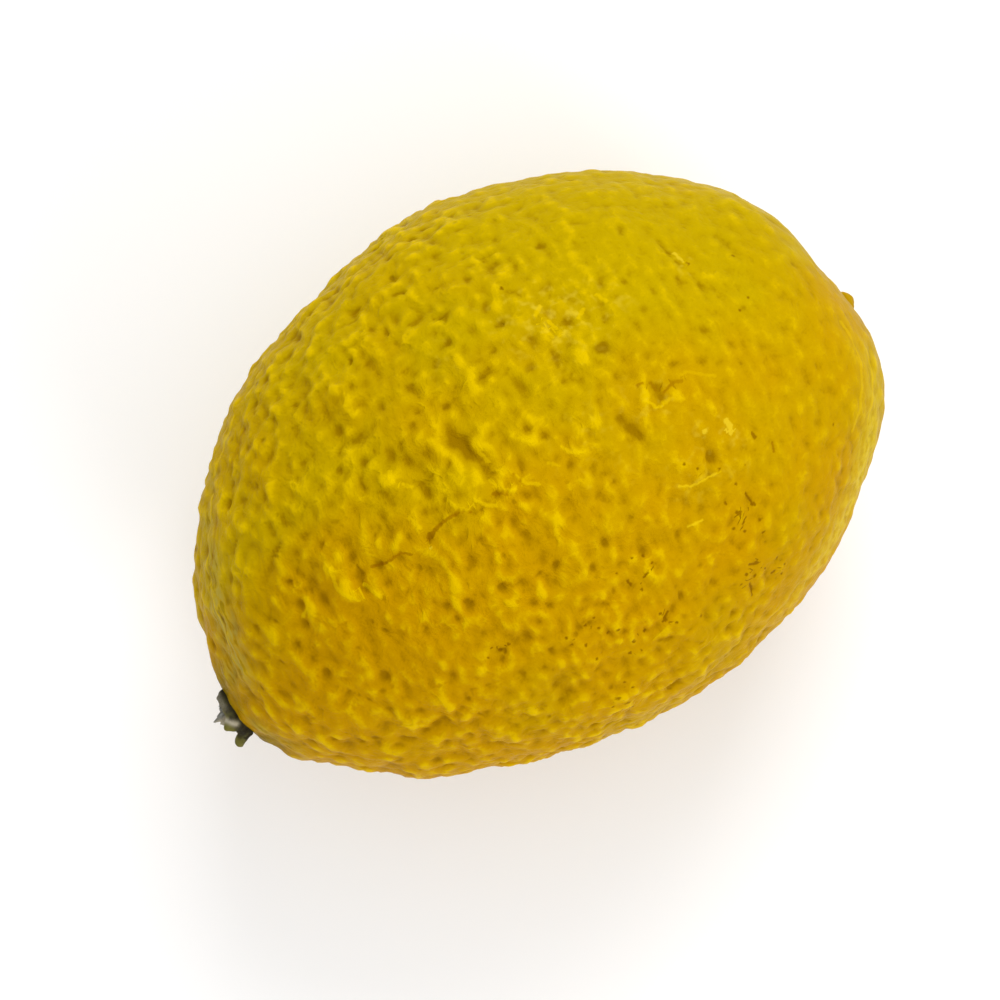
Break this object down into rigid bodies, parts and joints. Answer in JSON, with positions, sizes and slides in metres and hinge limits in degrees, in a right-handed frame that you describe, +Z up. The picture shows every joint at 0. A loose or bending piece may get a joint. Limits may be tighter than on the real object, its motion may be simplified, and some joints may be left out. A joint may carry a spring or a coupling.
{
  "type": "lemon",
  "caption": "Whole ripe lemon lying on its side, with lumpy, pitted yellow peel, the dried calyx and broken stalk at one end and a blunt nub at the other.",
  "frame": {"origin": "middle of the small flat spot under the fruit, on the surface that it rests on", "axes": "+X along the fruit towards its blossom end, the stem end at -X, +Y across the fruit, +Z up"},
  "size_m": [0.0827, 0.0603, 0.0582],
  "materials": {
    "peel": "waxy, pitted ripe lemon peel with a soft shine",
    "dried_sepal": "dry, dark olive-brown sepals, matt",
    "broken_stalk": "weathered grey, splintered stalk wood, matt"
  },
  "bodies": {
    "root": {"fruit": "peel", "calyx": "dried_sepal", "pedicel_stub": "broken_stalk"}
  },
  "joints": []
}
